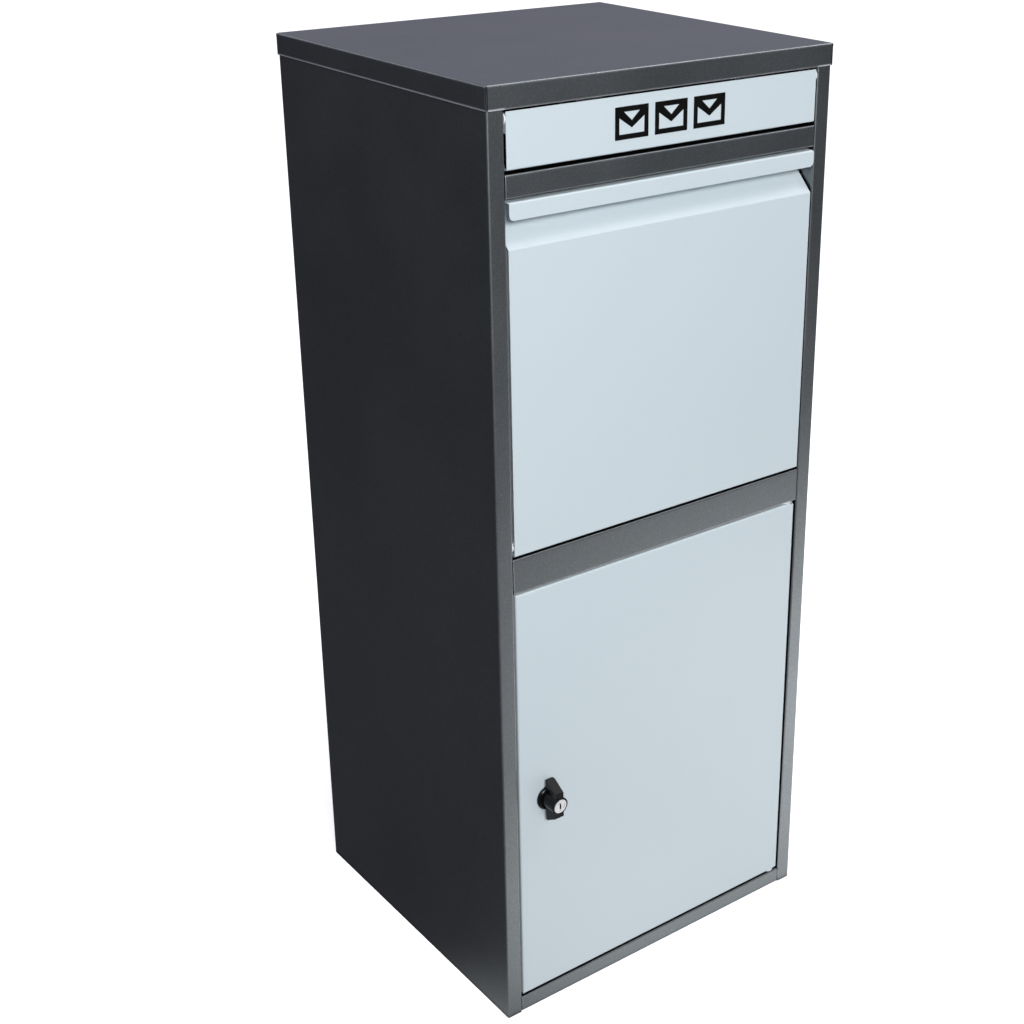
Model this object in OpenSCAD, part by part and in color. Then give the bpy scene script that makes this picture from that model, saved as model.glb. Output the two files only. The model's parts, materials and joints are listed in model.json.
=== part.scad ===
// Free-standing letter and parcel box, all in folded sheet steel. A letter flap swings in
// at the top, a tilting parcel hopper is pulled out by its lip in the middle, and a locked
// door at the bottom empties both. Millimetres. +Z is up and the front faces -Y. The
// origin is at the middle of the footprint, on the floor.

/* [Cabinet] */
// Height over everything
total_h = 1020; // [850:10:1230]
// Width of the body, without the lid's overhang
body_w = 422; // [350:1:510]
// Depth of the body, without the lid's overhang
body_d = 388; // [330:1:470]
// Thickness of the body's sheet
sheet = 1; // [0.8:0.1:1.2]
// Inside radius of every fold
fold_r = 1; // [0.6:0.1:1.2]

/* [Lid] */
// Play between the lid's skirt and the body, all round
lid_play = 0; // [0:0.1:1]
// Height of the lid's skirt
lid_skirt = 22.5; // [18:0.5:30]
// Width of the open slit at each corner of the skirt
corner_slit = 0.5; // [0.3:0.1:0.8]

/* [Front frame] */
// Width of the stile face at each side
stile_w = 18.5; // [15:0.5:30]
// Depth of the return behind each stile
return_d = 20; // [18:1:24]
// Depth of the flanges on the cross rails
rail_d = 16; // [14:1:18]
// Height of the rail under the letter slot
letter_rail_h = 22.5; // [18:0.5:40]
// Height of the rail between the parcel flap and the door
middle_rail_h = 38; // [28:1:60]
// Height of the rail under the door
bottom_rail_h = 18; // [16:1:40]
// Gap between the bottom rail and the floor
bottom_rail_lift = 1.5; // [1.5:0.5:4]
// Height of the letter slot
letter_open_h = 59; // [50:1:75]
// Height of the opening for the parcel flap
parcel_open_h = 360.5; // [300:0.5:435]

/* [Letter flap] */
// Gap at each side of the letter flap
letter_gap_side = 2; // [1.8:0.1:3]
// Gap under the letter flap
letter_gap_below = 3.5; // [2.5:0.5:5]
// Gap over the letter flap
letter_gap_above = 2.2; // [0.6:0.1:3]
// Depth of the flange along the flap's bottom edge
letter_flange = 30; // [29:1:34]
// Width of the three-envelope sign on the letter flap
sign_w = 136; // [90:1:160]
// Height of the sign
sign_h = 31; // [20:1:34]

/* [Parcel hopper] */
// Gap at each side of the parcel flap
hopper_gap_side = 2.2; // [1.8:0.1:3]
// Gap under the parcel flap
hopper_gap_below = 2.5; // [2:0.5:4]
// Gap over the pull lip
hopper_gap_above = 2.7; // [2.5:0.1:4]
// How far the hopper tilts out, in degrees
hopper_open = 45; // [35:1:45]
// Height of the pull lip
lip_h = 16.8; // [14:0.2:22]
// How far the lip stands out of the front
lip_proud = 2.5; // [1.5:0.5:5]
// Depth of the finger recess behind the lip
recess_d = 30; // [24:1:34]
// Height of the upright wall at the back of the recess
recess_wall = 13.7; // [12:0.1:20]
// How far the tray slopes down while the hopper is shut, in degrees
tray_slope = 35; // [30:1:40]
// Free depth behind the tray's edge as it passes level
rear_shaft = 56; // [45:1:90]
// How far the comb's teeth stand out past the tray
comb_reach = 18; // [10:1:24]
// Spacing of the comb's teeth
comb_pitch = 22; // [16:1:30]

/* [Letter chute] */
// Slope of the letter chute, in degrees
chute_slope = 33; // [28:1:33]
// Free depth behind the chute, where letters drop
chute_shaft = 75; // [60:1:100]

/* [Door] */
// Gap at the door's lock side
door_gap_lock = 2.3; // [1.8:0.1:3]
// Gap at the door's hinge side
door_gap_hinge = 3.2; // [3:0.1:4]
// Gap over the door
door_gap_above = 2; // [1.8:0.1:3]
// Gap under the door
door_gap_below = 3.3; // [2.5:0.1:4]
// Depth of the flange all round the door
door_d = 18; // [14:1:18]
// Distance of the hinge pins from the door's edge and from its face
hinge_inset = 8; // [7:0.5:8]

/* [Lock] */
// Distance from the door's lock-side edge to the lock's axis
lock_inset = 35.5; // [30:0.5:44]
// Height of the lock's axis over the floor
lock_z = 266.5; // [150:0.5:330]
// Diameter of the lock's base ring
bezel_dia = 28; // [26:1:34]
// How far the knob stands out of the door
knob_out = 23; // [18:1:30]
// Length of the wings where they meet the base ring
wing_span = 50; // [42:1:60]
// Width of the wings
wing_w = 10; // [8:1:12]
// Length of the locking cam from the lock's axis
cam_len = 48; // [44:1:52]

/* [Anchors] */
// Spacing of the wall holes across
wall_x = 300; // [200:10:360]
// Spacing of the wall holes upwards
wall_z = 700; // [400:10:760]
// Diameter of the wall holes
wall_dia = 9; // [7:0.5:12]
// Spacing of the floor holes across
floor_x = 300; // [200:10:360]
// Spacing of the floor holes from front to back
floor_y = 240; // [160:10:300]
// Diameter of the floor holes
floor_dia = 11; // [8:0.5:14]

/* [Hidden] */
$fn = 48;

// Play left between faces that meet, and radial play of a pin in its hole
play = 0.2;
fit = 0.05;
// Flat segments in each fold
fold_steps = 5;
// Overlength of a cut, so that it runs clear of both faces
over = 1;

ink = [0.02, 0.02, 0.02];
anthracite = [0.16, 0.17, 0.19];
panel_white = [0.80, 0.85, 0.88];
steel = [0.62, 0.63, 0.65];
rubber = [0.06, 0.06, 0.06];
nylon = [0.85, 0.86, 0.85];
black = [0.04, 0.04, 0.045];

// Front and back faces of the body, and its inner side walls
front = -body_d / 2;
rear = body_d / 2;
wall_in = body_w / 2 - sheet;
// How far the lid stands out past the body
lid_edge = lid_play + sheet;
// Half the width between the stiles, which is the width of every opening
open_x = body_w / 2 - stile_w;

// Levels of the openings, from the top down
lid_under = total_h - sheet;
// The walls end below the fold inside the lid
wall_top = lid_under - fold_r;
letter_top = total_h - lid_skirt;
letter_low = letter_top - letter_open_h;
parcel_top = letter_low - letter_rail_h;
parcel_low = parcel_top - parcel_open_h;
door_top = parcel_low - middle_rail_h;
door_low = bottom_rail_lift + bottom_rail_h;
// Height of the floor pan's flange, and of the notch that it needs in the returns
pan_flange = 14;
pan_notch = pan_flange + over;

// ---------------------------------------------------------------- folded sheet

function perp(v) = [-v[1], v[0]];
function along(path, i) = (path[i + 1] - path[i]) / norm(path[i + 1] - path[i]);
function spin(v, a) = [v[0] * cos(a) - v[1] * sin(a), v[0] * sin(a) + v[1] * cos(a)];
function reversed(list) = [for (i = [len(list) - 1:-1:0]) list[i]];

// Points round fold i. The face on the path has far = 0, and the other face has far = 1.
// side is 1 where the metal lies to the left of the path, and -1 to the right.
function fold(path, i, side, far) =
    let (
        a = along(path, i - 1),
        b = along(path, i),
        turn = atan2(cross(a, b), a * b),
        way = sign(turn),
        on_path = way == side ? fold_r + sheet : fold_r,
        radius = way == side ? on_path - far * sheet : on_path + far * sheet,
        centre = path[i] - a * on_path * tan(abs(turn) / 2) + way * on_path * perp(a)
    )
    [for (k = [0:fold_steps]) centre - way * radius * spin(perp(a), turn * k / fold_steps)];

function face(path, side, far) = [
    path[0] + far * side * sheet * perp(along(path, 0)),
    for (i = [1:len(path) - 2]) each fold(path, i, side, far),
    path[len(path) - 1] + far * side * sheet * perp(along(path, len(path) - 2))
];

// A sheet folded along path, as a flat outline
module folded(path, side) {
    polygon(concat(face(path, side, 0), reversed(face(path, side, 1))));
}

// Runs an outline drawn in [y, z] along X, between two values of x
module across(from, to) {
    translate([from, 0, 0]) rotate([90, 0, 90]) linear_extrude(to - from) children();
}

// A rectangle on the x axis, with its two upper corners rounded
function arch(w, h, r) = concat(
    [[-w / 2, 0], [w / 2, 0]],
    [for (k = [0:fold_steps])
        [w / 2 - r + r * cos(90 * k / fold_steps), h - r + r * sin(90 * k / fold_steps)]],
    [for (k = [0:fold_steps])
        [-w / 2 + r - r * sin(90 * k / fold_steps), h - r + r * cos(90 * k / fold_steps)]]
);

module round_block(w, l, h, r) {
    intersection() {
        rotate([90, 0, 0]) linear_extrude(l, center = true) polygon(arch(w, h, r));
        rotate([90, 0, 90]) linear_extrude(w, center = true) polygon(arch(l, h, r));
    }
}

// A folded pan, open below, with its four corner seams left as slits
module pan(w, l, h, slit) {
    difference() {
        round_block(w, l, h, fold_r + sheet);
        translate([0, 0, -over])
            round_block(w - 2 * sheet, l - 2 * sheet, h - sheet + over, fold_r);
        for (x = [-1, 1], y = [-1, 1])
            translate([x * w / 2, y * l / 2, (h - fold_r - sheet) / 2 - over])
                rotate([0, 0, x * y * 45])
                    cube([6, slit, h - fold_r - sheet], center = true);
    }
}

module both_sides() {
    children();
    mirror([1, 0, 0]) children();
}

// A round bar along X, Y or Z, from one value of that axis to another
module bar_x(from, to, r, y, z) {
    translate([from, y, z]) rotate([0, 90, 0]) cylinder(h = to - from, r = r);
}
module bar_y(from, to, r, x, z) {
    translate([x, from, z]) rotate([-90, 0, 0]) cylinder(h = to - from, r = r);
}
module bar_z(from, to, r, x, y) {
    translate([x, y, from]) cylinder(h = to - from, r = r);
}

// A box given by its two corners
module span(low, high) {
    translate(low) cube(high - low);
}

// ---------------------------------------------------------------- cabinet

// Width of the side panel's flange behind the back panel
rear_flange = 20;
// Thickness and reach of the small stop brackets
bracket_t = 1.2;
// Heads and shanks of the blind rivets
rivet_r = 2;
rivet_head_r = 3.4;
rivet_head_h = 1.2;

// Left side wall, with its stile and return in front and a flange behind
module side_wall() {
    path = [
        [rear_flange - body_w / 2, rear],
        [-body_w / 2, rear],
        [-body_w / 2, front],
        [-open_x, front],
        [-open_x, front + return_d]
    ];
    difference() {
        linear_extrude(wall_top) folded(path, 1);
        // notch for the floor pan
        span([-open_x - 2 * sheet, front + sheet, -over],
             [-open_x + sheet, front + return_d + over, pan_notch]);
        pin_holes();
        rear_rivet_holes();
    }
}

// Holes in the left return for the letter and hopper pins
module pin_holes() {
    bar_x(-open_x - 2 * sheet, -open_x + sheet, letter_pin_r + fit,
          front + letter_pivot_d, letter_pivot_z);
    bar_x(-open_x - 2 * sheet, -open_x + sheet, hopper_pin_r + fit,
          front + hopper_pivot_d, hopper_pivot_z);
}

// Places of the blind rivets that hold the lid, along its rear skirt
lid_rivet_x = [-(body_w / 2 - rear_flange / 2), 0, body_w / 2 - rear_flange / 2];
lid_rivet_z = total_h - lid_skirt / 2;

module rear_rivet_holes() {
    for (x = lid_rivet_x)
        bar_y(rear - 3 * sheet - over, rear + lid_edge + over, rivet_r + fit,
              x, lid_rivet_z);
}

module side_left() {
    color(anthracite) side_wall();
}

module side_right() {
    color(anthracite) mirror([1, 0, 0]) side_wall();
}

module back_panel() {
    color(anthracite) difference() {
        span([-wall_in + fold_r, rear - 2 * sheet, sheet + play],
             [wall_in - fold_r, rear - sheet, wall_top]);
        for (x = [-1, 1], z = [-1, 1])
            bar_y(rear - 3 * sheet, rear, wall_dia / 2,
                  x * wall_x / 2, wall_mid + z * wall_z / 2);
        rear_rivet_holes();
    }
}

// Height of the middle of the wall holes
wall_mid = total_h / 2 - 10;

module floor_pan() {
    // its square corners stay clear of the folds inside the side walls
    clear = 0.3 * fold_r;
    from = front + sheet + clear;
    to = rear - 2 * sheet - play / 2;
    color(anthracite) difference() {
        translate([0, (from + to) / 2, pan_flange]) rotate([180, 0, 0])
            pan(2 * (wall_in - clear), to - from, pan_flange, corner_slit);
        for (x = [-1, 1], y = [-1, 1])
            bar_z(-over, 2 * sheet, floor_dia / 2, x * floor_x / 2, y * floor_y / 2);
    }
}

module lid() {
    color(anthracite) difference() {
        translate([0, 0, letter_top])
            pan(body_w + 2 * lid_edge, body_d + 2 * lid_edge, lid_skirt, corner_slit);
        rear_rivet_holes();
    }
}

// Each rivet's head lies on the skirt, and its shank runs through to the back panel
module lid_rivets() {
    head_y = rear + lid_edge;
    color(steel) for (x = lid_rivet_x)
        union() {
            bar_y(rear - 2 * sheet - rivet_r, head_y + rivet_head_h / 2, rivet_r,
                  x, lid_rivet_z);
            translate([x, head_y, lid_rivet_z]) rotate([-90, 0, 0])
                cylinder(h = rivet_head_h, r1 = rivet_head_r, r2 = 0.6 * rivet_head_r);
        }
}

// Rail under the lid's skirt, with the tabs that stop the letter flap as it swings out
module header_rail() {
    tab_w = 30;
    tab_h = 6;
    tab_x = open_x / 2;
    color(anthracite) {
        across(-open_x + play, open_x - play)
            folded([[front + rail_d, letter_top], [front, letter_top],
                    [front, wall_top]], -1);
        for (x = [-tab_x, tab_x])
            span([x - tab_w / 2, front + sheet + play, letter_top - tab_h],
                 [x + tab_w / 2, front + 2 * sheet + play, letter_top + sheet / 2]);
    }
}

// A channel whose face is flush with the stiles
module channel_rail(low, high) {
    across(-open_x + play, open_x - play)
        folded([[front + rail_d, high], [front, high], [front, low],
                [front + rail_d, low]], 1);
}

module letter_rail() {
    color(anthracite) channel_rail(parcel_top, letter_low);
}

module middle_rail() {
    color(anthracite) difference() {
        channel_rail(door_top, parcel_low);
        bar_z(door_top - over, door_top + 2 * sheet, door_pin_r + fit, hinge_x, hinge_y);
    }
}

module bottom_rail() {
    color(anthracite) difference() {
        across(-open_x + play, open_x - play)
            folded([[front + rail_d, door_low], [front, door_low],
                    [front, bottom_rail_lift]], 1);
        bar_z(door_low - 2 * sheet, door_low + over, door_pin_r + fit, hinge_x, hinge_y);
    }
}

// The chute leads letters back over the hopper, to the shaft behind it
chute_start = rail_d + over;
chute_end = body_d - 2 * sheet - chute_shaft;
chute_top = letter_low - sheet - play;
chute_flange = 12;

function chute_z(d) = chute_top - (d - chute_start) * tan(chute_slope);

module letter_chute() {
    lip = 10;
    end_z = chute_z(chute_end);
    half = wall_in - play;
    notch_d = return_d + 2;
    path = [
        [front + 3, chute_top],
        [front + chute_start, chute_top],
        [front + chute_end, end_z],
        [front + chute_end, end_z - lip]
    ];
    color(anthracite) union() {
        difference() {
            across(-half, half) folded(path, -1);
            // clear of the returns and stiles
            for (x = [-1, 1])
                span([x > 0 ? open_x - play : -half - over, front, end_z],
                     [x > 0 ? half + over : -open_x + play, front + notch_d, letter_low]);
        }
        // flanges welded to the side walls
        for (x = [-half, half - sheet])
            across(x, x + sheet)
                polygon([
                    [front + notch_d, chute_z(notch_d) - sheet],
                    [front + chute_end - lip, chute_z(chute_end - lip) - sheet],
                    [front + chute_end - lip, chute_z(chute_end - lip) - chute_flange],
                    [front + notch_d, chute_z(notch_d) - chute_flange]
                ]);
    }
}

// ---------------------------------------------------------------- letter flap

letter_pin_r = 1.5;
letter_pivot_d = 5;
letter_pivot_z = letter_top - 9;
letter_half = open_x - letter_gap_side;
letter_flap_low = letter_low + letter_gap_below;
letter_flap_top = letter_top - letter_gap_above;
bush_wall = 0.7;

module letter_flap() {
    ear_d = 10.5;
    ear_low = letter_pivot_z - 13;
    ear_top = letter_pivot_z + 5;
    hole_r = letter_pin_r + 2 * fit + bush_wall;
    color(panel_white) difference() {
        union() {
            across(-letter_half, letter_half)
                folded([[front + letter_flange, letter_flap_low], [front, letter_flap_low],
                        [front, letter_flap_top]], -1);
            both_sides() span([-letter_half, front + sheet / 2, ear_low],
                              [-letter_half + sheet, front + ear_d, ear_top]);
        }
        both_sides() bar_x(-letter_half - over, -letter_half + 2 * sheet, hole_r,
                           front + letter_pivot_d, letter_pivot_z);
    }
}

// A flanged bush: its collar fills the gap beside the flap, and its sleeve lines the ear
module letter_bushes() {
    collar_r = 5;
    outer = open_x - play;
    inner = letter_half + play / 2;
    color(nylon) both_sides() difference() {
        union() {
            bar_x(-outer, -inner, collar_r, front + letter_pivot_d, letter_pivot_z);
            bar_x(-outer, -letter_half + 2 * sheet, letter_pin_r + fit + bush_wall,
                  front + letter_pivot_d, letter_pivot_z);
        }
        bar_x(-outer - over, -letter_half + 3 * sheet, letter_pin_r + fit,
              front + letter_pivot_d, letter_pivot_z);
    }
}

// Rivet pins, headed in the cavity behind the stile
module letter_pins() {
    color(steel) both_sides() {
        bar_x(-open_x - sheet, -letter_half + 3 * sheet, letter_pin_r,
              front + letter_pivot_d, letter_pivot_z);
        bar_x(-open_x - sheet - rivet_head_h, -open_x - sheet, 1.8 * letter_pin_r,
              front + letter_pivot_d, letter_pivot_z);
    }
}

// Outline and flap lines of one envelope, in a w by h rectangle round the origin
module envelope(w, h, stroke) {
    fall = h * 0.55;
    difference() {
        square([w, h], center = true);
        square([w - 2 * stroke, h - 2 * stroke], center = true);
    }
    intersection() {
        square([w, h], center = true);
        for (x = [-1, 1])
            polygon([[x * w / 2, h / 2], [x * w / 2, h / 2 - 1.4 * stroke],
                     [0, h / 2 - fall - 0.7 * stroke], [0, h / 2 - fall + 0.7 * stroke],
                     [x * (w / 2 - stroke), h / 2]]);
    }
}

// Three envelope pictograms say what the slot is for
module letter_sign() {
    film = 0.2;
    count = 3;
    gap = 8;
    stroke = 5;
    each_w = (sign_w - (count - 1) * gap) / count;
    mid_z = (letter_flap_low + letter_flap_top) / 2 + 1;
    color(ink) for (i = [0:count - 1])
        translate([(i - (count - 1) / 2) * (each_w + gap), front, mid_z])
            rotate([90, 0, 0]) linear_extrude(film) envelope(each_w, sign_h, stroke);
}

// ---------------------------------------------------------------- parcel hopper

hopper_pin_r = 3;
hopper_half = open_x - hopper_gap_side;
hopper_low = parcel_low + hopper_gap_below;
hopper_lip_top = parcel_top - hopper_gap_above;
hopper_pivot_d = 7;
hopper_pivot_z = hopper_low + 9;
// Outer face of the cheeks, and their thickness
cheek_t = 1.2;
cheek_x = hopper_half - 1.3;

// Level where the front leaves the plane of the frame and slopes back to the recess
slope_start = hopper_lip_top - sheet - recess_wall - recess_d;

// Turns a point [d, z] about the hopper's pivot, as the hopper opens by angle a
function swung(p, a) =
    let (rel = [p[0] - hopper_pivot_d, p[1] - hopper_pivot_z])
    [hopper_pivot_d, hopper_pivot_z] + spin(rel, a);

// Moves a shape with the hopper as it opens by angle a, in the row's own frame
module swing(a) {
    translate([0, front + hopper_pivot_d, hopper_pivot_z]) rotate([a, 0, 0])
        translate([0, -front - hopper_pivot_d, -hopper_pivot_z]) children();
}

// Cuts one lower corner of the lip to a radius. edge is the lip's end and low its foot.
module corner_cut(edge, level, r, up) {
    difference() {
        span([edge - r, front - lip_proud - over, up ? level - r : level - over],
             [edge + over, front, up ? level + over : level + r]);
        bar_y(front - lip_proud - 2 * over, front + over, r,
              edge - r, up ? level - r : level + r);
    }
}

module parcel_flap() {
    flange = tray_fold_d - 2;
    lip_in = front - lip_proud + sheet;
    lip_low = hopper_lip_top - lip_h;
    low_r = 5;
    top_r = 2.5;
    path = [
        [front + flange, hopper_low],
        [front, hopper_low],
        [front, slope_start],
        [front + recess_d, slope_start + recess_d],
        [front + recess_d, hopper_lip_top - sheet],
        [lip_in, hopper_lip_top - sheet],
        [lip_in, lip_low]
    ];
    color(panel_white) difference() {
        across(-hopper_half, hopper_half) folded(path, -1);
        both_sides() {
            corner_cut(hopper_half, lip_low, low_r, false);
            corner_cut(hopper_half, hopper_lip_top, top_r, true);
        }
    }
}

// The tray starts on the flap's bottom flange and slopes down to the rear
tray_fold_d = 18;
tray_z = hopper_low + sheet + play / 2;
tray_reach = body_d - 2 * sheet - rear_shaft - hopper_pivot_d;
// Length of the slope, so that its edge swings at tray_reach from the pivot
fold_rel = [tray_fold_d - hopper_pivot_d, tray_z - hopper_pivot_z];
fold_along = fold_rel * [cos(tray_slope), -sin(tray_slope)];
tray_len = -fold_along + sqrt(pow(fold_along, 2) + pow(tray_reach, 2) - pow(norm(fold_rel), 2));
tray_half = cheek_x - cheek_t - play / 2;
tray_flange = 14;

// A point on the tray's upper side, s along the slope and up over it
function on_tray(s, up) =
    [tray_fold_d, tray_z]
    + s * [cos(tray_slope), -sin(tray_slope)]
    + (up + sheet) * [sin(tray_slope), cos(tray_slope)];

function at_front(p) = [front + p[0], p[1]];

// Places of the rivets along each of the tray's side flanges
tray_rivet_s = [tray_len * 0.2, tray_len * 0.55, tray_len * 0.9];

// Corners of the cheek, all in [d, z]
cheek_gap = sheet + play;
stop_front = return_d + play;
stop_reach = 300 / 344 * (hopper_lip_top - hopper_pivot_z);
cheek_back = swung([stop_front + 2 * bracket_t, hopper_pivot_z + stop_reach + bracket_t],
                   -hopper_open);
cheek_outline = [
    [cheek_gap + fold_r, tray_z],
    [cheek_gap, tray_z + fold_r],
    [cheek_gap, slope_start - cheek_gap * (sqrt(2) - 1)],
    [recess_d + cheek_gap, slope_start + recess_d - cheek_gap * (sqrt(2) - 1)],
    [recess_d + cheek_gap, hopper_lip_top - sheet - over],
    cheek_back,
    on_tray(tray_len, tray_flange),
    on_tray(tray_len, -sheet),
    on_tray(0, -sheet)
];

// Left cheek: it closes the side of the hopper and carries its pivot and opening stop
module cheek() {
    weld_flange = 11;
    tab_out = 9;
    tab_h = 22;
    hole_r = hopper_pin_r + 2 * fit + bush_wall;
    difference() {
        union() {
            across(-cheek_x, -cheek_x + cheek_t)
                polygon([for (p = cheek_outline) at_front(p)]);
            span([-cheek_x, front + cheek_gap, hopper_pivot_z + 12],
                 [-cheek_x + weld_flange, front + cheek_gap + cheek_t, slope_start - 8]);
            // this tab meets the back of the stile's return when the hopper is fully out
            swing(-hopper_open)
                span([-cheek_x - tab_out, front + stop_front,
                      hopper_pivot_z + stop_reach - tab_h],
                     [-cheek_x + cheek_t / 2, front + stop_front + bracket_t,
                      hopper_pivot_z + stop_reach]);
        }
        bar_x(-cheek_x - over, -cheek_x + 2 * cheek_t, hole_r,
              front + hopper_pivot_d, hopper_pivot_z);
        tray_rivet_holes();
    }
}

module tray_rivet_holes() {
    for (s = tray_rivet_s)
        let (p = on_tray(s, tray_flange / 2))
            bar_x(-cheek_x - over, -tray_half + 2 * sheet, rivet_r + fit,
                  front + p[0], p[1]);
}

module cheek_left() {
    color(panel_white) cheek();
}

module cheek_right() {
    color(panel_white) mirror([1, 0, 0]) cheek();
}

comb_rivet_x = [-tray_half * 0.8, -tray_half * 0.27, tray_half * 0.27, tray_half * 0.8];
comb_lap = 16;

module tray() {
    end = on_tray(tray_len, -sheet);
    path = [[front + 4, tray_z], [front + tray_fold_d, tray_z], at_front(end)];
    flange_outline = [
        on_tray(14, -sheet / 2), on_tray(tray_len, -sheet / 2),
        on_tray(tray_len, tray_flange - 4), on_tray(tray_len - 4, tray_flange),
        on_tray(18, tray_flange)
    ];
    color(panel_white) difference() {
        union() {
            across(-tray_half, tray_half) folded(path, 1);
            both_sides() across(-tray_half, -tray_half + sheet)
                polygon([for (p = flange_outline) at_front(p)]);
        }
        both_sides() tray_rivet_holes();
        comb_holes();
    }
}

// Places things on the tray: X across, Y along the slope, Z up out of its lower face
module on_slope() {
    low = on_tray(0, -sheet);
    translate([0, front + low[0], low[1]]) rotate([-tray_slope, 0, 0]) children();
}

module comb_holes() {
    on_slope() for (x = comb_rivet_x)
        bar_z(-2 * sheet - over, sheet + over, rivet_r + fit, x, tray_len - comb_lap / 2);
}

// Toothed strip under the tray's edge, which stops a parcel from being fished out again
module tray_comb() {
    half = tray_half - 4;
    teeth = floor(2 * half / comb_pitch);
    pitch = 2 * half / teeth;
    root = 5;
    strip = concat(
        [[-half, tray_len - comb_lap], [half, tray_len - comb_lap]],
        [for (i = [teeth - 1:-1:0]) each [
            [-half + (i + 1) * pitch, tray_len + root],
            [-half + (i + 0.5) * pitch, tray_len + comb_reach]
        ]],
        [[-half, tray_len + root]]
    );
    color(panel_white) difference() {
        on_slope() translate([0, 0, -sheet - play / 2]) linear_extrude(sheet) polygon(strip);
        comb_holes();
    }
}

module comb_rivets() {
    low = -sheet - play / 2;
    color(steel) on_slope() for (x = comb_rivet_x) {
        bar_z(low - rivet_head_h, low, rivet_head_r, x, tray_len - comb_lap / 2);
        bar_z(low, sheet, rivet_r, x, tray_len - comb_lap / 2);
        bar_z(sheet, sheet + rivet_head_h, rivet_head_r, x, tray_len - comb_lap / 2);
    }
}

module hopper_rivets() {
    color(steel) both_sides() for (s = tray_rivet_s)
        let (p = on_tray(s, tray_flange / 2), y = front + p[0]) {
            bar_x(-cheek_x - rivet_head_h, -cheek_x, rivet_head_r, y, p[1]);
            bar_x(-cheek_x, -tray_half + sheet, rivet_r, y, p[1]);
            bar_x(-tray_half + sheet, -tray_half + sheet + rivet_head_h, rivet_head_r, y, p[1]);
        }
}

module hopper_bushes() {
    collar_r = 5;
    outer = open_x - play;
    inner = cheek_x + play / 2;
    tail = -cheek_x + cheek_t + play;
    color(nylon) both_sides() difference() {
        union() {
            bar_x(-outer, -inner, collar_r, front + hopper_pivot_d, hopper_pivot_z);
            bar_x(-outer, tail, hopper_pin_r + fit + bush_wall,
                  front + hopper_pivot_d, hopper_pivot_z);
        }
        bar_x(-outer - over, tail + over, hopper_pin_r + fit,
              front + hopper_pivot_d, hopper_pivot_z);
    }
}

// Headed pins through the returns, with a retaining button inside the cheek
module hopper_pins() {
    tail = -cheek_x + cheek_t + 2 * play;
    color(steel) both_sides() {
        bar_x(-open_x - sheet - 2.5, -open_x - sheet, hopper_pin_r + 2,
              front + hopper_pivot_d, hopper_pivot_z);
        bar_x(-open_x - sheet, tail, hopper_pin_r, front + hopper_pivot_d, hopper_pivot_z);
        bar_x(tail, tail + 1.5, hopper_pin_r + 1.6, front + hopper_pivot_d, hopper_pivot_z);
    }
}

// ---------------------------------------------------------------- door

door_left = -open_x + door_gap_lock;
door_right = open_x - door_gap_hinge;
door_z0 = door_low + door_gap_below;
door_z1 = door_top - door_gap_above;
hinge_x = door_right - hinge_inset;
hinge_y = front + hinge_inset;
door_pin_r = 3;
door_bush_r = 4;

module door_panel() {
    w = door_right - door_left;
    h = door_z1 - door_z0;
    notch_w = 5;
    notch_h = 1.8;
    color(panel_white) difference() {
        translate([(door_left + door_right) / 2, front + door_d, (door_z0 + door_z1) / 2])
            rotate([90, 0, 0]) pan(w, h, door_d, corner_slit);
        for (z = [door_z0 - over, door_z1 - 2 * sheet])
            bar_z(z, z + 2 * sheet + over, door_bush_r + fit, hinge_x, hinge_y);
        // relief at both corners on the hinge side
        for (z = [door_z0 - over, door_z1 - notch_h])
            span([door_right - notch_w, front - over, z],
                 [door_right + over, front + 2 * sheet + fold_r, z + notch_h + over]);
        bar_y(front - over, front + 2 * sheet, barrel_r + fit, lock_x, lock_z);
    }
}

// Hat-section rib behind the door's skin
module door_stiffener() {
    half = 20;
    foot = 12;
    deep = 13;
    near = front + sheet + play / 2;
    margin = 22;
    path = [
        [-half - foot, near], [-half, near], [-half, near + deep],
        [half, near + deep], [half, near], [half + foot, near]
    ];
    color(panel_white) translate([0, 0, door_z0 + margin])
        linear_extrude(door_z1 - door_z0 - 2 * margin) folded(path, 1);
}

// Nylon flanged bushes between the door and the rails
module door_bushes() {
    collar_r = 6.5;
    tail = 2.5;
    color(nylon) {
        difference() {
            union() {
                bar_z(door_z1 + play / 2, door_top - play, collar_r, hinge_x, hinge_y);
                bar_z(door_z1 - sheet - tail, door_top - play, door_bush_r,
                      hinge_x, hinge_y);
            }
            bar_z(door_z1 - sheet - tail - over, door_top, door_pin_r + fit,
                  hinge_x, hinge_y);
        }
        difference() {
            union() {
                bar_z(door_low + play, door_z0 - play / 2, collar_r, hinge_x, hinge_y);
                bar_z(door_low + play, door_z0 + sheet + tail, door_bush_r,
                      hinge_x, hinge_y);
            }
            bar_z(door_low, door_z0 + sheet + tail + over, door_pin_r + fit,
                  hinge_x, hinge_y);
        }
    }
}

// One pin hangs from the middle rail and one stands on the bottom rail
module door_pins() {
    head_r = 5;
    head_h = 2.5;
    reach = 10;
    color(steel) {
        bar_z(door_z1 - reach, door_top + sheet, door_pin_r, hinge_x, hinge_y);
        bar_z(door_top + sheet, door_top + sheet + head_h, head_r, hinge_x, hinge_y);
        bar_z(door_low - sheet, door_z0 + reach, door_pin_r, hinge_x, hinge_y);
        bar_z(door_low - sheet - head_h, door_low - sheet, head_r, hinge_x, hinge_y);
    }
}

// ---------------------------------------------------------------- closing stops

stop_x = 120;
stop_w = 24;
bumper_r = 5;
bumper_z = hopper_lip_top - sheet - recess_wall / 2;
bumper_front = recess_d + sheet + play;
bumper_t = 7;

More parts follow.
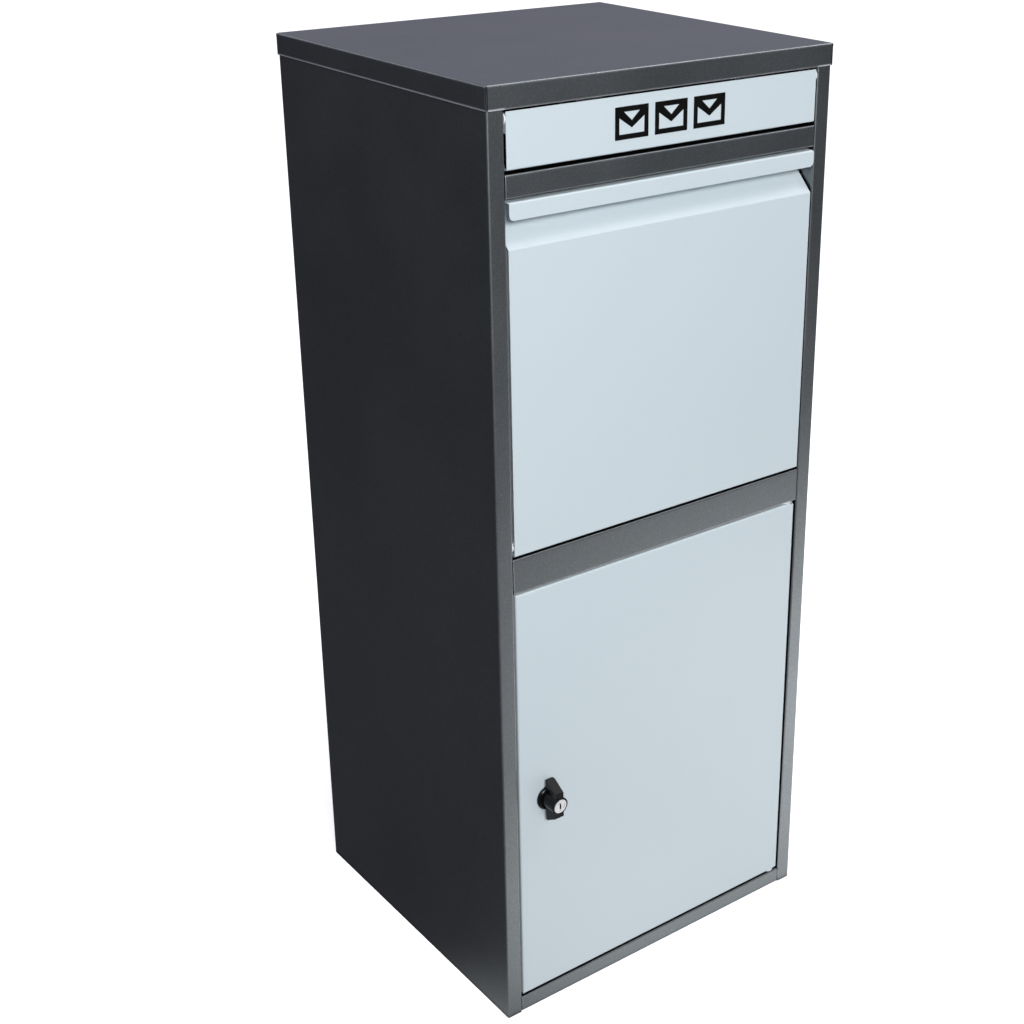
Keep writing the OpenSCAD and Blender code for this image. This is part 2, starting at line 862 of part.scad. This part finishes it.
// Two brackets on the letter rail's lower flange carry the hopper's rubber bumpers
module hopper_stop_brackets() {
    back_d = bumper_front + bumper_t;
    seat = parcel_top + sheet;
    color(anthracite) for (x = [-stop_x, stop_x]) difference() {
        union() {
            span([x - stop_w / 2, front + 4, seat],
                 [x + stop_w / 2, front + back_d + bracket_t, seat + bracket_t]);
            span([x - stop_w / 2, front + back_d, bumper_z - bumper_r - 3],
                 [x + stop_w / 2, front + back_d + bracket_t, seat + bracket_t]);
        }
        bar_y(front + back_d - over, front + back_d + bracket_t + over,
              bumper_r / 2 + fit, x, bumper_z);
    }
}

module hopper_bumpers() {
    back_d = bumper_front + bumper_t;
    color(rubber) for (x = [-stop_x, stop_x]) {
        bar_y(front + bumper_front, front + back_d, bumper_r, x, bumper_z);
        bar_y(front + back_d, front + back_d + bracket_t + 2, bumper_r / 2, x, bumper_z);
    }
}

door_stop_z = [door_low + 110, door_top - 100];
door_stop_h = 30;
door_pad_t = return_d - door_d - play;

// Two angle brackets behind the lock-side return, which the door's flange shuts against
module door_stop_brackets() {
    reach = 9;
    foot = 14;
    color(anthracite) for (z = door_stop_z) {
        span([-open_x - sheet - bracket_t, front + return_d - foot, z],
             [-open_x - sheet, front + return_d + bracket_t, z + door_stop_h]);
        span([-open_x - sheet - bracket_t, front + return_d, z],
             [-open_x + reach, front + return_d + bracket_t, z + door_stop_h]);
    }
}

module door_bumpers() {
    pad_r = 3;
    color(rubber) for (z = door_stop_z)
        bar_y(front + return_d - door_pad_t, front + return_d, pad_r,
              -open_x + door_gap_lock + pad_r, z + door_stop_h / 2);
}

// ---------------------------------------------------------------- lock

lock_x = door_left + lock_inset;
barrel_r = 9;
barrel_end = 19;
spindle_r = 6;
bezel_t = 4;
hub_r = 9.8;
ring_r = 7.8;
ring_deep = 12;
plug_r = 5.2;
plug_deep = 9;
cam_t = 2.5;
cam_w = 16;
// The cam passes behind the stile's return with this much play
cam_near = return_d + 1.5;
tang = 7;
nut_af = 24;
washer_t = 1;
nut_t = 5;

// Distances h here are out of the door, towards the front
module out(from, to, r) {
    bar_y(front - to, front - from, r, lock_x, lock_z);
}

module lock_bezel() {
    color(black) difference() {
        translate([lock_x, front, lock_z]) rotate([90, 0, 0])
            rotate_extrude()
                polygon([[spindle_r + fit, 0], [bezel_dia / 2, 0],
                         [bezel_dia / 2, bezel_t - 1.6], [bezel_dia / 2 - 1.6, bezel_t],
                         [spindle_r + fit, bezel_t]]);
    }
}

// Threaded barrel through the door
module lock_barrel() {
    color(steel) difference() {
        out(-barrel_end, -play / 2, barrel_r);
        out(-barrel_end - over, over, spindle_r + fit);
    }
}

module lock_washer() {
    color(steel) difference() {
        out(-sheet - washer_t - play / 2, -sheet - play / 2, nut_af / 2 + 1);
        out(-2 * sheet - washer_t - over, 0, barrel_r + fit);
    }
}

module lock_nut() {
    near = sheet + washer_t + play;
    color(steel) difference() {
        translate([lock_x, front + near, lock_z]) rotate([-90, 0, 0])
            cylinder(h = nut_t, d = nut_af / cos(30), $fn = 6);
        out(-near - nut_t - over, -near + over, barrel_r + fit);
    }
}

// Winged knob: a hub with two tapered wings, hollow in front for the lock cylinder
module knob() {
    start = bezel_t + play;
    half = wing_span / 2;
    front_half = half * 0.62;
    wing_back = 2.2;
    edge = 1;
    color(black) difference() {
        union() {
            out(start, knob_out - 0.6, hub_r);
            out(knob_out - 0.7, knob_out, hub_r - 0.6);
            intersection() {
                // the wings' taper
                translate([lock_x - wing_w / 2, 0, lock_z]) rotate([90, 0, 90])
                    linear_extrude(wing_w)
                        polygon([
                            [front - start, -half], [front - wing_back - 3, -half],
                            [front - knob_out + 2, -front_half],
                            [front - knob_out + edge, -front_half + 1],
                            [front - knob_out + edge, front_half - 1],
                            [front - knob_out + 2, front_half],
                            [front - wing_back - 3, half], [front - start, half]
                        ]);
                // the wings' rounded tips
                translate([lock_x, front, lock_z]) rotate([90, 0, 0])
                    linear_extrude(knob_out) polygon(rounded_bar(wing_w, wing_span, 1.6));
            }
        }
        out(knob_out - ring_deep, knob_out + over, ring_r + fit);
        out(0, knob_out - ring_deep - 2, spindle_r + fit / 2);
    }
}

// A bar w wide and l long round the origin, with corners of radius r
function rounded_bar(w, l, r) = [
    for (q = [0:3], k = [0:3])
        let (
            a = 90 * q + 30 * k,
            cx = (q == 0 || q == 3 ? 1 : -1) * (w / 2 - r),
            cy = (q < 2 ? 1 : -1) * (l / 2 - r)
        )
        [cx + r * cos(a), cy + r * sin(a)]
];

// The steel spindle joins the knob to the cam, and ends in a square tang
module knob_spindle() {
    screw_r = 2;
    color(steel) difference() {
        union() {
            out(-barrel_end - play, knob_out - ring_deep - 3, spindle_r);
            span([lock_x - tang / 2, front + barrel_end, lock_z - tang / 2],
                 [lock_x + tang / 2, front + cam_near + cam_t - play, lock_z + tang / 2]);
            out(-cam_near + play, -barrel_end, spindle_r);
        }
        out(-cam_near - cam_t - over, -barrel_end + 6, screw_r + fit);
    }
}

// The cam stands up while the door is unlocked
module lock_cam() {
    r = cam_w / 2;
    color(steel) difference() {
        translate([lock_x, front + cam_near, lock_z]) rotate([-90, 0, 0])
            linear_extrude(cam_t) union() {
                circle(r = r);
                translate([-r, -(cam_len - r)]) square([cam_w, cam_len - r]);
                translate([0, -(cam_len - r)]) circle(r = r);
            }
        span([lock_x - tang / 2 - fit, front + cam_near - over, lock_z - tang / 2 - fit],
             [lock_x + tang / 2 + fit, front + cam_near + cam_t + over,
              lock_z + tang / 2 + fit]);
    }
}

module cam_screw() {
    far = cam_near + cam_t;
    color(steel) difference() {
        union() {
            out(-far - 1, -far, 6);
            out(-far - 4, -far - 1, 4.2);
            out(-far, -barrel_end + 4, 2);
        }
        translate([lock_x, front + far + 4, lock_z]) rotate([90, 0, 0])
            cylinder(h = 2, d = 4, $fn = 6);
    }
}

// Bright face ring of the lock cylinder, set into the knob
module cylinder_ring() {
    lip = 0.4;
    color(steel) difference() {
        union() {
            out(knob_out - ring_deep + play, knob_out + lip, ring_r - 0.5);
            out(knob_out - ring_deep + play, knob_out, ring_r);
        }
        out(knob_out - plug_deep - play, knob_out + over, plug_r + fit);
    }
}

// The plug that the key turns, with its keyway
module key_plug() {
    slot_w = 2;
    slot_h = 7;
    slot_deep = 7;
    proud = 0.2;
    color(steel) difference() {
        out(knob_out - plug_deep, knob_out + proud, plug_r);
        span([lock_x - slot_w / 2, front - knob_out - proud - over, lock_z - slot_h / 2],
             [lock_x + slot_w / 2, front - knob_out + slot_deep, lock_z + slot_h / 2]);
    }
}

side_left();
side_right();
back_panel();
floor_pan();
lid();
lid_rivets();
header_rail();
letter_rail();
middle_rail();
bottom_rail();
letter_chute();
hopper_stop_brackets();
hopper_bumpers();
door_stop_brackets();
door_bumpers();
letter_pins();
hopper_pins();
door_pins();
letter_flap();
letter_sign();
letter_bushes();
parcel_flap();
cheek_left();
cheek_right();
tray();
tray_comb();
hopper_rivets();
comb_rivets();
hopper_bushes();
door_panel();
door_stiffener();
door_bushes();
lock_bezel();
lock_barrel();
lock_washer();
lock_nut();
knob();
knob_spindle();
lock_cam();
cam_screw();
cylinder_ring();
key_plug();
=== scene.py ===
"""Looks, light and camera for the letter and parcel box. Everything is in metres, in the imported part's frame."""
import json
import math

import bpy
from mathutils import Matrix, Vector

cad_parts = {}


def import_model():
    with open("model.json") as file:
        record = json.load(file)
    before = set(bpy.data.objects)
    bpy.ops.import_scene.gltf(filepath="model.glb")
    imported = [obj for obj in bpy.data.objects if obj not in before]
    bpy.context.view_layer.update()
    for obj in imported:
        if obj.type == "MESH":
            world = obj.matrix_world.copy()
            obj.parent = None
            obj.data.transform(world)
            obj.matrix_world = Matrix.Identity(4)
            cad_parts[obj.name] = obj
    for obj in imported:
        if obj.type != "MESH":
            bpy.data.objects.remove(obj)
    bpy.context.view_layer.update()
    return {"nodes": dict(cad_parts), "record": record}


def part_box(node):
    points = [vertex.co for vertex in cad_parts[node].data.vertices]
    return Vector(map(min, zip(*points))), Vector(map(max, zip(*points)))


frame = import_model()
nodes = frame["nodes"]
scene = bpy.context.scene
scene.view_settings.view_transform = "Standard"

lid_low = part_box("lid")[0]
rail_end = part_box("letter_rail")[1].x
wall_low, wall_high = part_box("side_right")
slot_edge = wall_low.x  # the stile's inner edge, beside the openings

# ------------------------------------------------------------------ node tools


def rgb(r, g, b):
    return (r, g, b, 1.0)


class Shade:
    """A material being wired up: short calls for nodes, links and maths."""

    SOCKETS = {
        "color": "Base Color", "metal": "Metallic", "rough": "Roughness", "normal": "Normal",
        "coat": "Coat Weight", "coat_rough": "Coat Roughness", "spec": "Specular IOR Level",
        "aniso": "Anisotropic",
    }

    def __init__(self, name):
        self.mat = bpy.data.materials.new(name)
        self.mat.use_nodes = True
        self.nt = self.mat.node_tree
        self.bsdf = self.nt.nodes["Principled BSDF"]
        self.obj = self.node("ShaderNodeTexCoord").outputs["Object"]
        self.place = self.node("ShaderNodeSeparateXYZ", {0: self.obj}).outputs

    def node(self, kind, ins=None, **props):
        n = self.nt.nodes.new(kind)
        for k, v in props.items():
            setattr(n, k, v)
        for k, v in (ins or {}).items():
            self.put(v, n.inputs[k])
        return n

    def put(self, v, socket):
        if isinstance(v, bpy.types.NodeSocket):
            self.nt.links.new(v, socket)
        else:
            socket.default_value = v

    def math(self, op, a, b=0.0, c=0.0, clamp=False):
        return self.node("ShaderNodeMath", {0: a, 1: b, 2: c}, operation=op, use_clamp=clamp).outputs[0]

    def times(self, a, b):
        return self.math("MULTIPLY", a, b)

    def plus(self, a, b):
        return self.math("ADD", a, b)

    def size(self, axis):
        """Distance from the middle plane along X or Y."""
        return self.math("ABSOLUTE", self.place[axis])

    def noise(self, scale, detail=2.0, rough=0.5, at=None):
        ins = {"Vector": at or self.obj, "Scale": scale, "Detail": detail, "Roughness": rough}
        return self.node("ShaderNodeTexNoise", ins).outputs["Fac"]

    def cells(self, scale):
        """One random grey per cell."""
        n = self.node("ShaderNodeTexVoronoi", {"Vector": self.obj, "Scale": scale})
        return self.node("ShaderNodeSeparateColor", {0: n.outputs["Color"]}).outputs[0]

    def ramp(self, fac, lo, hi, out_lo=0.0, out_hi=1.0):
        ins = {"Value": fac, "From Min": lo, "From Max": hi, "To Min": out_lo, "To Max": out_hi}
        return self.node("ShaderNodeMapRange", ins, interpolation_type="SMOOTHSTEP").outputs["Result"]

    def mix(self, fac, a, b):
        return self.node("ShaderNodeMix", {0: fac, 6: a, 7: b}, data_type="RGBA").outputs[2]

    def bump(self, height, distance, strength, normal=None):
        ins = {"Height": height, "Distance": distance, "Strength": strength}
        if normal:
            ins["Normal"] = normal
        return self.node("ShaderNodeBump", ins).outputs["Normal"]

    def scaled(self, x, y, z):
        return self.node("ShaderNodeMapping", {"Vector": self.obj, "Scale": (x, y, z)}).outputs[0]

    def edge(self, radius, sharp=3.0):
        """1 on the crests of edges, 0 on flat faces."""
        round_n = self.node("ShaderNodeBevel", {"Radius": radius}, samples=4).outputs[0]
        flat_n = self.node("ShaderNodeNewGeometry").outputs["Normal"]
        dot = self.node("ShaderNodeVectorMath", {0: round_n, 1: flat_n}, operation="DOT_PRODUCT")
        turned = self.math("SUBTRACT", 1.0, dot.outputs["Value"])
        return self.math("MULTIPLY", turned, sharp, clamp=True)

    def cavity(self, distance):
        """0 deep in gaps, 1 in the open."""
        free = self.node("ShaderNodeAmbientOcclusion", {"Distance": distance}, samples=8).outputs["AO"]
        return self.ramp(free, 0.32, 0.84)

    def set(self, **ins):
        for k, v in ins.items():
            self.put(v, self.bsdf.inputs[self.SOCKETS[k]])
        return self.mat


# ------------------------------------------------------------------ materials

SEAM_BLACK = rgb(0.01, 0.01, 0.012)
PAINTED_GAP_SHADE = rgb(0.012, 0.012, 0.014)
FLECK_SILVER = rgb(0.46, 0.47, 0.52)
CREST_WEAR_AND_HIGHLIGHT = rgb(0.58, 0.60, 0.64)
PAINTED_RIM_HIGHLIGHT = rgb(0.80, 0.82, 0.86)

CREST_RADIUS = 0.0018  # how far round the cabinet's edges the paint is drawn thinner and paler: wear, partly a painted highlight
GAP_REACH = 0.010  # how near another face has to be for painted shade to darken a gap
RIM_HEIGHT = 0.0024  # height of the painted highlight along the lid skirt's lower edge


def lid_lines(s, base, crest_wear_and_highlight):
    """The skirt's lower edge drawn pale as a painted highlight, fainter over the letter slot, and a dark seam at
    each front corner.
    """
    front = s.ramp(s.place["Y"], lid_low.y + 0.0004, lid_low.y + 0.0012, 1.0, 0.0)
    rim_highlight = s.ramp(s.place["Z"], lid_low.z, lid_low.z + RIM_HEIGHT, 1.0, 0.0)
    over_slot = s.times(front, s.ramp(s.size("X"), slot_edge - 0.001, slot_edge + 0.003, 1.0, 0.0))
    rim_highlight = s.times(rim_highlight, s.math("MULTIPLY_ADD", over_slot, -0.85, 1.0))
    # Painted highlight: a pale band along the skirt's lower edge.
    base = s.mix(s.times(rim_highlight, 0.85), base, PAINTED_RIM_HIGHLIGHT)
    seam = s.times(s.ramp(s.size("X"), -lid_low.x - 0.0026, -lid_low.x - 0.0018), front)
    return s.mix(s.times(seam, 0.85), base, SEAM_BLACK), s.math("MAXIMUM", crest_wear_and_highlight, rim_highlight)


def rail_joint(s, base):
    """The dark joint at a rail's right end."""
    line = s.ramp(s.place["X"], rail_end - 0.0014, rail_end - 0.0004)
    return s.mix(s.times(line, 0.97), base, SEAM_BLACK)


def cabinet_paint(name, lid=False, rail=False):
    """Metallic anthracite powder coat with fine fleck, crests painted paler (edge wear and partly a painted
    highlight) and painted shade in gaps.
    """
    s = Shade(name)
    grain = s.noise(700.0, 3.0, 0.65)
    fleck = s.ramp(s.cells(1300.0), 0.55, 1.0)
    base = s.mix(s.noise(2.2, 3.0), rgb(0.188, 0.208, 0.213), rgb(0.224, 0.246, 0.256))
    base = s.mix(s.times(fleck, 0.24), base, FLECK_SILVER)
    # Edge crests painted paler and less metallic: paint wear, and partly a painted highlight along the folds.
    crest_wear_and_highlight = s.times(s.edge(CREST_RADIUS, sharp=6.0), s.ramp(s.noise(60.0, 4.0), 0.35, 0.7, 0.55, 1.0))
    base = s.mix(crest_wear_and_highlight, base, CREST_WEAR_AND_HIGHLIGHT)
    # Painted shade: narrow gaps between parts are darkened through an occlusion mask.
    base = s.mix(s.cavity(GAP_REACH), PAINTED_GAP_SHADE, base)
    if lid:
        base, crest_wear_and_highlight = lid_lines(s, base, crest_wear_and_highlight)
    if rail:
        base = rail_joint(s, base)
    smooth = s.ramp(s.noise(7.0, 4.0), 0.3, 0.75, 0.30, 0.37)
    peel = s.bump(s.noise(170.0, 2.0), distance=0.00020, strength=0.12)
    return s.set(color=base, spec=0.4,
                 metal=s.math("MULTIPLY_ADD", crest_wear_and_highlight, -0.62, 0.92),
                 rough=s.math("MULTIPLY_ADD", grain, 0.10, smooth),
                 normal=s.bump(grain, distance=0.00012, strength=0.34, normal=peel))


def panel_paint():
    """Pale grey enamel: light orange peel, a little duller where hands touch it."""
    s = Shade("pale_grey_enamel")
    handled = s.ramp(s.noise(26.0, 5.0, 0.6), 0.52, 0.8)
    base = s.mix(s.noise(3.0, 3.0), rgb(0.588, 0.676, 0.718), rgb(0.612, 0.698, 0.738))
    base = s.mix(s.times(handled, 0.10), base, rgb(0.55, 0.62, 0.66))
    # Painted highlight: edge crests of the panels drawn paler.
    base = s.mix(s.times(s.edge(0.0008), 0.35), base, rgb(0.74, 0.80, 0.84))
    smooth = s.ramp(s.noise(9.0, 3.0), 0.3, 0.7, 0.32, 0.38)
    peel = s.bump(s.noise(230.0, 2.0), distance=0.00012, strength=0.30)
    return s.set(color=base, spec=0.5, coat=0.12, coat_rough=0.25,
                 rough=s.math("MULTIPLY_ADD", handled, 0.07, smooth),
                 normal=s.bump(s.noise(900.0, 2.0), distance=0.00004, strength=0.35, normal=peel))


def zinc():
    """Zinc plate with fine scratches that run upright."""
    s = Shade("zinc_plated_steel")
    scratch = s.noise(260.0, 4.0, 0.7, at=s.scaled(1.0, 1.0, 0.08))
    base = s.mix(s.noise(90.0, 3.0), rgb(0.52, 0.52, 0.50), rgb(0.62, 0.62, 0.64))
    return s.set(color=base, metal=1.0, aniso=0.3,
                 rough=s.ramp(scratch, 0.3, 0.7, 0.26, 0.42),
                 normal=s.bump(scratch, distance=0.00005, strength=0.4))


def chrome():
    s = Shade("polished_chrome")
    swirl = s.noise(420.0, 3.0, 0.6)
    base = s.mix(s.noise(140.0), rgb(0.74, 0.75, 0.77), rgb(0.84, 0.85, 0.86))
    return s.set(color=base, metal=1.0,
                 rough=s.ramp(swirl, 0.35, 0.75, 0.10, 0.22),
                 normal=s.bump(swirl, distance=0.00002, strength=0.3))


def black_plastic():
    """Moulded plastic, its edges drawn paler: rubbing, and partly a painted highlight."""
    s = Shade("black_moulded_plastic")
    base = s.mix(s.noise(60.0, 3.0), rgb(0.0025, 0.0028, 0.0032), rgb(0.005, 0.0055, 0.006))
    # Edges paler: partly rubbing, partly a painted highlight.
    base = s.mix(s.times(s.edge(0.0006), 0.35), base, rgb(0.045, 0.047, 0.050))
    return s.set(color=base, spec=0.16,
                 rough=s.ramp(s.noise(120.0, 3.0), 0.3, 0.7, 0.17, 0.26),
                 normal=s.bump(s.noise(1500.0, 2.0), distance=0.00003, strength=0.25))


def rubber():
    s = Shade("black_rubber_stop")
    base = s.mix(s.noise(300.0, 3.0), rgb(0.010, 0.010, 0.010), rgb(0.022, 0.022, 0.021))
    return s.set(color=base, spec=0.3,
                 rough=s.ramp(s.noise(200.0), 0.3, 0.7, 0.68, 0.82),
                 normal=s.bump(s.noise(1100.0, 3.0), distance=0.00008, strength=0.5))


def nylon():
    s = Shade("white_nylon")
    base = s.mix(s.noise(120.0, 3.0), rgb(0.71, 0.74, 0.76), rgb(0.78, 0.81, 0.83))
    return s.set(color=base,
                 rough=s.ramp(s.noise(240.0), 0.3, 0.7, 0.36, 0.5),
                 normal=s.bump(s.noise(800.0), distance=0.00004, strength=0.3))


def ink():
    """The printed film of the pictograms."""
    s = Shade("black_sign_film")
    base = s.mix(s.noise(300.0, 3.0), rgb(0.0015, 0.0015, 0.0015), rgb(0.004, 0.004, 0.004))
    return s.set(color=base, spec=0.12,
                 rough=s.ramp(s.noise(70.0, 3.0), 0.3, 0.7, 0.44, 0.56),
                 normal=s.bump(s.noise(600.0), distance=0.00003, strength=0.3))


# Per material slot: its finish, and how wide its sharp edges are rounded (0 leaves them sharp).
FINISHES = {
    "cabinet_paint": (cabinet_paint("anthracite_powder_coat"), 0.00028),
    "panel_paint": (panel_paint(), 0.00028),
    "zinc_steel": (zinc(), 0.00018),
    "black_rubber": (rubber(), 0.0004),
    "white_nylon": (nylon(), 0.00015),
    "black_plastic": (black_plastic(), 0.00035),
    "sign_ink": (ink(), 0),
    "lock_chrome": (chrome(), 0.00018),
}

rail_paint = cabinet_paint("anthracite_rail", rail=True)
LINED = {
    "lid": cabinet_paint("anthracite_lid", lid=True),
    "letter_rail": rail_paint,
    "middle_rail": rail_paint,
    "bottom_rail": rail_paint,
}

# ------------------------------------------------------------------ CAD pieces

WELD_DISTANCE = 1e-5
SHARPEST_FOLD = math.radians(32)
NORMAL_WEIGHT = 80


def soften(o, width):
    """Welds the import's split corners, rounds sharp edges a little and shades the folds smoothly."""
    for p in o.data.polygons:
        p.use_smooth = True
    for name in ("custom_normal", "sharp_edge"):
        if name in o.data.attributes:
            o.data.attributes.remove(o.data.attributes[name])
    weld = o.modifiers.new("weld", "WELD")
    weld.merge_threshold = WELD_DISTANCE
    if width:
        bevel = o.modifiers.new("edges", "BEVEL")
        bevel.width = width
        bevel.segments = 2
        bevel.limit_method = "ANGLE"
        bevel.angle_limit = SHARPEST_FOLD
        bevel.use_clamp_overlap = True
    normals = o.modifiers.new("normals", "WEIGHTED_NORMAL")
    normals.mode = "FACE_AREA"
    normals.weight = NORMAL_WEIGHT
    normals.keep_sharp = False


slot_of = {p["node"]: p["material_slot"] for p in frame["record"]["subparts"]}
for name, o in nodes.items():
    finish, width = FINISHES[slot_of[name]]
    o.data.materials.clear()
    o.data.materials.append(LINED.get(name, finish))
    for p in o.data.polygons:
        p.material_index = 0
    soften(o, width)

# ------------------------------------------------------------------ floor

FLOOR_HALF = 40.0
FOOTPRINT_INSET = 0.006  # how far inside the walls the floor is painted dark: painted shade under the cabinet
MATT_SHARE = 0.28  # how much of the lit patches reaches matt surfaces
# Painted contact shadow: how bright the floor is drawn next to the cabinet.
CONTACT_SHADE = 0.72
# Lit patches of floor that the paint mirrors: centre, inner and outer radius, brightness inside and outside.
FRONT_PATCH = ((0.82, -0.30, 0), 0.25, 1.13, 1.74, 0.03)
BACK_PATCH = ((0.75, 0.60, 0), 0.25, 1.30, 0.75, 0.0)
FOOT_PATCH = ((-0.10, -0.35, 0), 0.05, 0.34, 0.68, 0.0)


def stage_floor():
    """White to the camera, with a painted soft contact shadow and painted shade under the cabinet. The paint
    mirrors three lit patches of it instead:
    front right, back right and left foot."""
    h = FLOOR_HALF
    mesh = bpy.data.meshes.new("studio_floor")
    mesh.from_pydata([(-h, -h, 0), (h, -h, 0), (h, h, 0), (-h, h, 0)], [], [(0, 1, 2, 3)])
    o = bpy.data.objects.new("studio_floor", mesh)
    scene.collection.objects.link(o)
    s = Shade("white_studio_floor")
    rays = s.node("ShaderNodeLightPath").outputs
    seen, mirrored = rays["Is Camera Ray"], rays["Is Glossy Ray"]
    x, y = s.place["X"], s.place["Y"]

    def spread(centre, *levels):
        reach = s.node("ShaderNodeVectorMath", {0: s.obj, 1: centre}, operation="DISTANCE")
        return s.ramp(reach.outputs["Value"], *levels)

    front = s.times(spread(*FRONT_PATCH), s.ramp(y, -0.25, 0.1, 1.0, 0.0))
    back = s.times(spread(*BACK_PATCH), s.times(s.ramp(y, 0.12, 0.30), s.ramp(x, -0.20, 0.05)))
    patches = s.plus(s.plus(front, spread(*FOOT_PATCH)), back)
    patches = s.times(patches, s.math("MULTIPLY_ADD", mirrored, 1 - MATT_SHARE, MATT_SHARE))
    beside = s.math("MAXIMUM",
                    s.math("SUBTRACT", s.size("X"), wall_high.x - FOOTPRINT_INSET),
                    s.math("SUBTRACT", s.size("Y"), wall_high.y - FOOTPRINT_INSET))
    # Painted shadow: the floor drawn darker near the cabinet and dark under its footprint.
    white = s.times(spread((0, 0, 0), 0.30, 0.90, CONTACT_SHADE, 1.0), s.ramp(beside, -0.004, 0.004))
    s.set(color=s.mix(seen, rgb(0.09, 0.09, 0.10), rgb(0.82, 0.82, 0.83)), rough=0.85, spec=0.1)
    strength = s.node("ShaderNodeMix", {0: seen, 2: patches, 3: white}, data_type="FLOAT").outputs[0]
    glow = s.node("ShaderNodeEmission", {"Color": rgb(1, 1, 1), "Strength": strength})
    both = s.node("ShaderNodeAddShader", {0: s.bsdf.outputs[0], 1: glow.outputs[0]})
    s.put(both.outputs[0], s.nt.nodes["Material Output"].inputs["Surface"])
    mesh.materials.append(s.mat)


# ------------------------------------------------------------------ room and lights

BRIGHT_WAY = (0.62, 0.78, 0.0)  # the side of the room that is less dim
DIM_ROOM = (0.30, rgb(0.110, 0.112, 0.125))
PALE_ROOM = (0.85, rgb(0.300, 0.292, 0.365))
# Softboxes: place, what they aim at, width, height, watts.
SOFTBOXES = {
    "key": ((-0.95, -2.85, 2.05), (0, 0, 0.75), 1.5, 0.7, 80),
    "front_fill": ((-1.15, -2.7, 1.60), (0, 0, 0.75), 1.2, 0.7, 15),
    "overhead": ((1.4, -0.5, 3.0), (0, 0, 0.5), 1.8, 2.2, 30),
    "back_left": ((-1.2, 2.8, 2.6), (0, 0, 0.6), 1.2, 1.2, 6),
}


def world():
    """White behind everything for the camera, a dim cool room for what is mirrored."""
    w = bpy.data.worlds.new("studio")
    scene.world = w
    w.use_nodes = True
    nt = w.node_tree
    link = nt.links.new
    room = nt.nodes["Background"]
    room.inputs["Strength"].default_value = 1.0
    white = nt.nodes.new("ShaderNodeBackground")
    white.inputs["Color"].default_value = rgb(1, 1, 1)
    white.inputs["Strength"].default_value = 1.0
    way = nt.nodes.new("ShaderNodeTexCoord").outputs["Generated"]
    turn = nt.nodes.new("ShaderNodeVectorMath")
    turn.operation = "DOT_PRODUCT"
    turn.inputs[1].default_value = BRIGHT_WAY
    link(way, turn.inputs[0])
    side = nt.nodes.new("ShaderNodeMath")
    side.operation = "MULTIPLY_ADD"
    side.inputs[1].default_value = 0.5
    side.inputs[2].default_value = 0.5
    link(turn.outputs["Value"], side.inputs[0])
    tone = nt.nodes.new("ShaderNodeValToRGB")
    for stop, (position, color) in zip(tone.color_ramp.elements, (DIM_ROOM, PALE_ROOM)):
        stop.position = position
        stop.color = color
    link(side.outputs[0], tone.inputs[0])
    link(tone.outputs[0], room.inputs["Color"])
    mix = nt.nodes.new("ShaderNodeMixShader")
    link(nt.nodes.new("ShaderNodeLightPath").outputs["Is Camera Ray"], mix.inputs[0])
    link(room.outputs[0], mix.inputs[1])
    link(white.outputs[0], mix.inputs[2])
    link(mix.outputs[0], nt.nodes["World Output"].inputs["Surface"])


def softbox(name, at, target, width, height, watts):
    data = bpy.data.lights.new(name, "AREA")
    data.shape = "RECTANGLE"
    data.size, data.size_y = width, height
    data.energy = watts
    o = bpy.data.objects.new(name, data)
    scene.collection.objects.link(o)
    o.location = at
    o.rotation_euler = (Vector(target) - Vector(at)).to_track_quat("-Z", "Y").to_euler()


stage_floor()
world()
for name, values in SOFTBOXES.items():
    softbox(name, *values)

# ------------------------------------------------------------------ camera

CAMERA_PLACE = (-1.02558, -1.42199, 1.27826)
CAMERA_AZIMUTH, CAMERA_ELEVATION, CAMERA_ROLL = (math.radians(v) for v in (-38.22, 22.549, 0.368))
LENS, SENSOR = 58.81, 36.0
SHIFT = (-0.10631, -0.05078)


def camera():
    data = bpy.data.cameras.new("camera")
    o = bpy.data.objects.new("camera", data)
    scene.collection.objects.link(o)
    scene.camera = o
    az, el, roll = CAMERA_AZIMUTH, CAMERA_ELEVATION, CAMERA_ROLL
    back = Vector((math.sin(az) * math.cos(el), -math.cos(az) * math.cos(el), math.sin(el)))
    level = (-back).cross(Vector((0, 0, 1))).normalized()
    upright = level.cross(-back)
    right = math.cos(roll) * level + math.sin(roll) * upright
    up = -math.sin(roll) * level + math.cos(roll) * upright
    o.matrix_world = Matrix.Translation(CAMERA_PLACE) @ Matrix((right, up, back)).transposed().to_4x4()
    data.sensor_width = SENSOR
    data.lens = LENS
    data.shift_x, data.shift_y = SHIFT
    data.clip_start, data.clip_end = 0.05, 200.0


camera()

# ------------------------------------------------------------------ update

bpy.context.view_layer.update()
